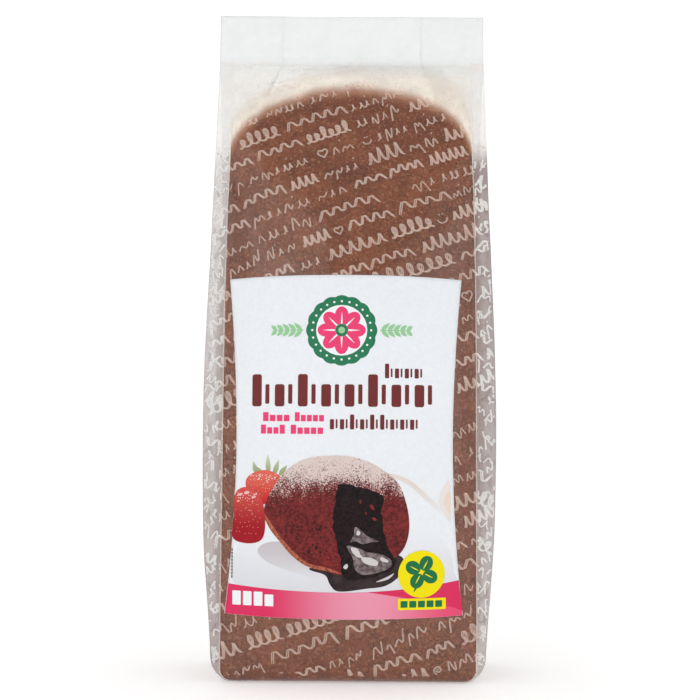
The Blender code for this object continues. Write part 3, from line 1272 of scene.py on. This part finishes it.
def band_ink(name):
    """Pink that pales towards the middle of the label."""
    made, tree = new_material(name)
    x = along_axis(tree, "X")
    to_middle = span(tree, x, -26 * MM, 4 * MM)
    base = blend(tree, to_middle, colour(218, 50, 96), colour(230, 148, 171))
    base = blend(tree, span(tree, x, 6 * MM, 32 * MM), base, colour(228, 78, 116))
    return printed(made, tree, base)


def label_inks():
    """The label's inks by name."""
    made = {}
    for maker, recipes in (
        (plain_ink, {name: (tint,) for name, tint in PLAIN_INKS.items()}),
        (shaded_ink, SHADED_INKS), (mottled_ink, MOTTLED_INKS),
        (cake_ink, {"cake": ()}), (band_ink, {"band": ()}),
    ):
        for name, recipe in recipes.items():
            made[name] = maker("print_" + name.replace(" ", "_"), *recipe)
    return made


def print_badge(art):
    """A green scalloped rosette with a pink blossom, between two leafy sprays."""
    scallop = []
    for step in range(8 * BADGE_LOBES):
        angle = 2 * math.pi * step / (8 * BADGE_LOBES)
        radius = BADGE_RADIUS * (0.955 + 0.045 * abs(math.cos(BADGE_LOBES * angle / 2)))
        scallop.append((BADGE_X + radius * math.cos(angle), BADGE_Z + radius * math.sin(angle)))
    art.field(scallop, "green", 2)
    art.field(disc(BADGE_X, BADGE_Z, BADGE_FIELD), "white", 3)
    for step in range(BADGE_DOTS):
        angle = 2 * math.pi * step / BADGE_DOTS
        x = BADGE_X + BADGE_DOT_RING * math.cos(angle)
        z = BADGE_Z + BADGE_DOT_RING * math.sin(angle)
        art.field(disc(x, z, 0.34, steps=10), "white", 3)
    for petal in range(BADGE_PETALS):
        turn = math.radians(90) + 2 * math.pi * petal / BADGE_PETALS
        x = BADGE_X + BADGE_PETAL_RING * math.cos(turn)
        z = BADGE_Z + BADGE_PETAL_RING * math.sin(turn)
        art.field(disc(x, z, 2.75, 2.05, turn), "pink", 4)
        art.field(leaf(BADGE_X, BADGE_Z, 5.6, 0.5, turn), "white", 5)
    art.field(disc(BADGE_X, BADGE_Z, 1.9), "green", 6)
    art.field(disc(BADGE_X, BADGE_Z, 1), "pale green", 7)
    for side in (1, -1):
        inner, outer = (BADGE_X + side * reach for reach in BADGE_SPRAY)
        left, right = sorted((inner, outer))
        art.field(block(left, BADGE_Z - 0.18, right, BADGE_Z + 0.18, 0.15), "pale green", 2)
        for number in range(BADGE_SPRAY_LEAVES):
            x = inner + side * (0.4 + 1.9 * number)
            for up in (1, -1):
                turn = math.radians(90 - side * 90 + side * up * 42)
                size = 3.3 - 0.25 * number
                art.field(leaf(x, BADGE_Z, size, 1.25, turn), "pale green", 3)


def print_words(art):
    """Plain blocks where a pack carries its words."""
    art.row_of_bars(-29.2, 26.2, 82.9, 6.6, 9.6, "TsTssTss", "brown", 2)
    art.row_of_bars(10.4, 22.2, 91.4, 2.9, 4.3, "Tsss", "brown", 2)
    art.row_of_bars(-5.8, 20.9, 76.2, 3, 4.4, "ssTsTTsss", "brown", 2)
    art.row_of_blocks(-25.8, -17.4, 78.5, 1.9, 2.7, "Tsss", "pink", 2)
    art.row_of_blocks(-16.2, -7.2, 78.5, 1.9, 2.7, "Tssss", "pink", 2)
    art.row_of_blocks(-26.4, -18.8, 74.8, 1.9, 2.7, "TssT", "pink", 2)
    art.row_of_blocks(-17.4, -7.4, 74.8, 1.9, 2.7, "Tssss", "pink", 2)
    for step in range(9):
        art.field(block(-35.2, 31.6 + step, -34.8, 32.4 + step, 0.1), "grey", 6)


def print_plate(art):
    """A white plate with its soft rim, and a blurred shape behind it."""
    art.shapes([
        ("plate", 1, [(-34, 30), (-33, 41), (-22, 50), (0, 54), (18, 50), (29, 42), (31.5, 34),
            (31.5, 30), (16, 28.6), (0, 28), (-18, 28.4)]),
        ("plate rim", 2, [(10.5, 63.6), (17.5, 61.6), (24, 56.2), (30.4, 50), (30.2, 48.8),
            (23.6, 54.6), (17.2, 60.2), (11.4, 62.6)]),
        ("blur", 3, [(30.1, 60.6), (27.6, 58.4), (26.8, 54.8), (28.4, 51.2), (30.4, 49.4)]),
        ("blur middle", 4, [(30, 57.8), (28.6, 55.8), (28.8, 53.2), (30.1, 51.8)]),
        ("shade", 2, [(-21, 43), (-27, 40.6), (-24, 36.8), (-14, 33.4), (-4, 30.6), (8, 29.8),
            (14, 33), (10, 38), (-6, 40)]),
    ])


def print_berry(art, outline, ink, seeds, layer, chance):
    """A strawberry with pale seeds in slanting rows and a soft shine."""
    art.field(outline, ink, layer)
    x0, z0, x1, z1 = seeds
    for row in range(BERRY_ROWS):
        for column in range(BERRY_COLUMNS):
            x = x0 + (x1 - x0) * (column + 0.5 * (row % 2)) / (BERRY_COLUMNS - 0.5)
            z = z0 + (z1 - z0) * row / (BERRY_ROWS - 1)
            x += chance.uniform(-0.5, 0.5)
            z += chance.uniform(-0.5, 0.5)
            art.field(disc(x, z, 0.09, 0.15, steps=6), "seed", layer + 1)
    for speck in range(BERRY_SPECKS):
        x = x0 + (x1 - x0) * chance.random()
        z = z1 + 0.4 - abs(chance.gauss(0, 0.20)) * (z1 - z0)
        size = chance.uniform(0.10, 0.26)
        art.field(disc(x, z, size, 0.7 * size, steps=6), "flour", layer + 1)


def print_berries(art, chance):
    """Two strawberries, the front one cut by the label's edge."""
    for x, turn, length in ((-27.4, 108, 4.4), (-24, 92, 6.4), (-22.4, 72, 5),
                            (-25.8, 128, 3.4), (-20.8, 52, 4)):
        art.field(leaf(x, 62.4, length, 1.5, math.radians(turn)), "leaf", 2)
    back = [(-31, 60), (-29.2, 62.8), (-24.8, 64), (-20.6, 62.4), (-20.4, 59.4),
            (-22.8, 56), (-25.4, 53.8), (-29, 55)]
    print_berry(art, round_loop(back), "berry back", (-29.6, 56.4, -21.8, 62.4), 3, chance)
    front = [(edge_x(-1, 54), 56), (-32.6, 58.4), (-29.4, 58.6), (-26.2, 55.8),
             (-24.9, 50.2), (-25.2, 44.8), (-27.2, 42.6), (-31.4, 42.2),
             (edge_x(-1, 44), 43.8), (edge_x(-1, 50), 50)]
    print_berry(art, round_loop(front), "berry", (-33.6, 45.4, -26.8, 57), 7, chance)
    for x, z, size in ((-32.6, 56.6, 0.8), (-30.6, 57.2, 0.9), (-28.4, 56, 0.7),
                       (-33.2, 54.6, 0.5)):
        art.field(disc(x, z, size, size * 0.5, 0.3, 12), "berry shine", 8)


def print_cake(art):
    """A small cake cut open, with the sauce that runs from it."""
    art.shapes([
        ("sauce", 3, [(-11.5, 35.4), (-7, 33.4), (-5.6, 30.8), (-3.8, 28.8), (-0.6, 28.6),
            (5, 29.4), (10.6, 30.2), (14.6, 32.8), (16.2, 36.4), (15.4, 39), (10, 40), (0, 38)]),
        ("cake", 5, [(-25.3, 51.4), (-23.9, 56.2), (-21.2, 60.9), (-17.9, 64.6), (-13.6, 67.2),
            (-8, 68.3), (-1, 68.4), (5.4, 66.8), (10.6, 63.9), (14.6, 60.2), (16.8, 54.8),
            (17.8, 49.2), (17.4, 44.4), (15.6, 40.4), (11.8, 37.6), (6, 38), (0, 36.6),
            (-6.6, 34.6), (-12, 35.8), (-16.6, 38.8), (-20.4, 43), (-23.6, 47)]),
        ("crust", 6, [(-25.3, 51.4), (-23.6, 47), (-20.4, 43), (-16.6, 38.8), (-12, 35.8),
            (-6.6, 34.6), (-2.2, 33.8), (-6.4, 35.6), (-11.6, 36.8), (-15.8, 39.8),
            (-19.6, 43.8), (-22.6, 47.8)]),
        ("crumb", 6, [(-6.6, 35), (-2, 33.6), (-2.4, 37.6), (-3.6, 43), (-8, 41)]),
    ])


def print_filling(art, chance):
    """The glossy filling that runs out of the cut cake on to the plate."""
    filling = [(-2.8, 60), (1.6, 59.6), (6, 58.6), (9.8, 56.8), (9.6, 52.6), (10, 48.2),
               (11, 43.8), (12.6, 39.6), (14.2, 37.6), (12, 34.6), (6, 32.8), (0.6, 32),
               (-1.8, 33.8), (-2.2, 37.2), (-3.4, 42), (-4.6, 48), (-4.2, 54)]
    filling = round_loop(filling, 5)
    filling = [(x + chance.uniform(-0.3, 0.3), z + chance.uniform(-0.3, 0.3))
               for x, z in filling]
    art.field(filling, "chocolate", 7)
    for x, z, size in ((6.8, 53.4, 1), (3.4, 55, 0.6), (7.4, 50, 0.8), (5, 51.6, 0.5)):
        art.field(disc(x, z, size, size * 0.55, chance.uniform(0, 3), 9), "crumb", 8)
    art.shapes([
        ("gloss", 8, [(0.4, 43.2), (1.4, 45.2), (1.8, 47.6), (3.6, 46.6), (5.4, 45), (8.8, 43.4),
            (6.6, 43.2), (4, 42.6), (2.2, 43.4)]),
        ("gloss", 8, [(-0.6, 42), (2.8, 41.4), (5.6, 40.2), (9, 39.8), (12.4, 38), (12.2, 35.8),
            (8.6, 34.2), (4, 33.6), (1.8, 35.4), (1.2, 38.4)]),
    ])
    glints = (
        [(0.6, 41.6), (2.6, 41.2), (3.4, 39.6), (4.2, 38.6), (2.6, 38.8), (1.2, 40)],
        [(3.8, 38.6), (6.4, 38.6), (8.6, 37.4), (8, 36.2), (5.6, 36.6), (4.2, 37.4)],
        [(9.6, 38.8), (11.6, 37.8), (11.2, 37.2), (9.4, 37.8)],
        [(2.6, 46.6), (3.4, 46), (3, 45.2), (2.2, 45.4)],
        [(-1.6, 35.8), (-0.6, 36.8), (-0.2, 36), (-0.8, 35.2)],
        [(8, 31.4), (11.6, 32.2), (13.4, 34), (11.2, 32.9)],
    )
    for outline in glints:
        art.field(round_loop(outline, 4), "shine", 9)


def print_pores(art, chance):
    """Dark pores in the cake, many to the left of its filling and a few to the right."""
    for number in range(CAKE_PORES_LEFT):
        x = chance.uniform(-23, -4.6)
        z = chance.uniform(36, 62)
        low = 51.5 - (x + 25) if x < -10 else 36.6
        if z < low + 1.5 or (x > -8 and z < 38.5):
            continue
        size = chance.uniform(0.10, 0.30) * (1.4 if z < 48 else 0.8)
        if z < 47 and chance.random() < 0.12:
            size *= 1.7
        art.field(disc(x, z, size, size * 0.75, chance.uniform(0, 3), 7), "pore", 7)
    for number in range(CAKE_PORES_RIGHT):
        x, z = chance.uniform(11.6, 16.4), chance.uniform(42, 57)
        size = chance.uniform(0.10, 0.24)
        art.field(disc(x, z, size, size * 0.7, chance.uniform(0, 3), 7), "pore", 8)


def print_band(art):
    """The pink wave along the label's foot, with plain blocks where the weight stands."""
    steps = 30
    top = []
    bottom = []
    for step in range(steps + 1):
        u = -1 + 2 * step / steps
        low = LABEL_BOTTOM / MM + 0.8 * u * u + 0.03
        high = 28.2 + 1.7 * u * u + 1.5 * max(u, 0) ** 1.5
        bottom.append((edge_x(-1, low) * (1 - u) / 2 + edge_x(1, low) * (1 + u) / 2, low))
        top.append((edge_x(-1, high) * (1 - u) / 2 + edge_x(1, high) * (1 + u) / 2, high))
    art.field(bottom + top[::-1], "band", 5)
    deep = [top[step] for step in range(18, steps + 1)]
    foot = bottom[-1]
    for step in range(13):
        share = step / 12
        x = foot[0] + (deep[0][0] - foot[0]) * share
        z = foot[1] + 1.2 + (deep[0][1] - foot[1] - 1.2) * share ** 0.7
        deep.append((x, z))
    art.field(deep, "band deep", 6)
    art.row_of_blocks(-34.8, -21.6, 23.7, 3.5, 4.2, "TTTs", "white", 7)


def print_leaf_mark(art):
    """A yellow disc with a plain green clover, over a yellow bar with green blocks."""
    x, z = 21.6, 33.6
    art.field(disc(x, z, 7, steps=48), "yellow", 8)
    art.field(leaf(x - 2.4, z - 5.4, 6, 0.8, math.radians(62)), "dark green", 9)
    for quarter in range(4):
        turn = math.radians(62 + 90 * quarter)
        out_x, out_z = math.cos(turn), math.sin(turn)
        lobe = disc(x + 2.9 * out_x, z + 0.6 + 2.9 * out_z, 2.3, 2, turn)
        art.field(lobe, "dark green", 9)
        art.field(leaf(x + out_x, z + 0.6 + out_z, 3, 0.35, turn), "yellow", 10)
    art.field(block(14.6, 23, 29, 26.4, 0.3), "yellow", 8)
    art.row_of_blocks(15.4, 28.4, 23.7, 2, 2, "sssss", "dark green", 9)


def make_label_print(chance):
    """Everything printed on the label."""
    art = LabelPrint(label_inks())
    print_plate(art)
    print_berries(art, chance)
    print_cake(art)
    print_filling(art, chance)
    print_pores(art, chance)
    print_band(art)
    print_leaf_mark(art)
    print_badge(art)
    print_words(art)
    return art.finish("label_print")


# ---------------------------------------------------------------- stage

def make_floor():
    """A pale floor that curves up all round."""
    around = 2 * math.pi * np.arange(SWEEP_TURNS) / SWEEP_TURNS
    flat = SWEEP_RADIUS - SWEEP_CURVE
    profile = [(0.0, 0.0), (0.5, 0.0), (flat, 0.0)]
    for angle in np.radians(np.arange(7.5, 91, 7.5)):
        profile.append((flat + SWEEP_CURVE * math.sin(angle), SWEEP_CURVE * (1 - math.cos(angle))))
    profile.append((SWEEP_RADIUS, SWEEP_HEIGHT))
    rings = np.array([
        np.stack([r * np.cos(around), r * np.sin(around), z + 0 * around], axis=1)
        for r, z in profile
    ])
    made, tree = new_material("studio_white")
    white = finish(made, tree, {
        "Base Color": (0.93, 0.93, 0.93, 1), "Roughness": 0.9,
        "Emission Color": (1, 1, 1, 1), "Emission Strength": 0.29,
    })
    quads = grid_faces(len(rings), SWEEP_TURNS, closed=True)
    floor = make_object("floor", rings.reshape(-1, 3), quads.tolist(), [white])
    weld(floor)


def make_world():
    world = bpy.data.worlds.new("studio")
    world.use_nodes = True
    background = world.node_tree.nodes["Background"]
    background.inputs["Color"].default_value = (1, 1, 1, 1)
    background.inputs["Strength"].default_value = 0.45
    bpy.context.scene.world = world


def make_lamps():
    """Soft square lamps that face the middle of the bag."""
    target = Vector((0, 0, HEIGHT / 2))
    for name, (spot, size, power) in LAMPS.items():
        lamp = bpy.data.lights.new(name, "AREA")
        lamp.size = size
        lamp.energy = power
        made = bpy.data.objects.new(name, lamp)
        made.location = spot
        made.rotation_euler = (target - Vector(spot)).to_track_quat("-Z", "Y").to_euler()
        bpy.context.scene.collection.objects.link(made)


def make_camera():
    """The view from low in front, tipped up a little."""
    lens = bpy.data.cameras.new("camera")
    lens.lens = CAMERA_LENS
    lens.sensor_width = 36
    camera = bpy.data.objects.new("camera", lens)
    pitch = Matrix.Rotation(math.radians(90) + CAMERA_TIPPED_UP, 4, "X")
    roll = Matrix.Rotation(CAMERA_ROLL, 4, "Z")
    camera.matrix_world = Matrix.Translation(CAMERA_SPOT) @ pitch @ roll
    scene = bpy.context.scene
    scene.collection.objects.link(camera)
    scene.camera = camera
    scene.view_settings.view_transform = "Standard"
    scene.cycles.transparent_max_bounces = CLEAR_LAYERS


def main():
    chance = np.random.default_rng(11)
    make_floor()
    make_world()
    make_lamps()
    make_camera()
    film = make_film(clear_film_material(), sealed_film_material(), header_film_material())
    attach(film, "root")
    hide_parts("pouch")

    sugar_look = sugar_material()
    for made in (make_sugar(sugar_look, chance), make_loose_grains(sugar_look, chance),
                 make_dust(dust_material())):
        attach(made, "root")

    ink = ink_material("white_ink", colour(250, 222, 206), colour(238, 236, 233))
    for number, face in enumerate(OUTWARD):
        made = make_script(face, ink, random.Random(21 + number))
        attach(made, "root")
    # The seam lines' tint: the weld's own colour and a painted highlight along the crease.
    weld_and_highlight_tint = colour(235, 215, 200)
    seams = make_seam_lines(ink_material("weld", weld_and_highlight_tint, weld_and_highlight_tint))
    lap_film = lap_material()
    for made in (seams, make_back_seam(lap_film), make_base_fold(lap_film)):
        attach(made, "root")

    label = make_label(paper_material())
    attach(label, "root")
    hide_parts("label")
    printed = make_label_print(random.Random(5))
    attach(printed, "root")


main()
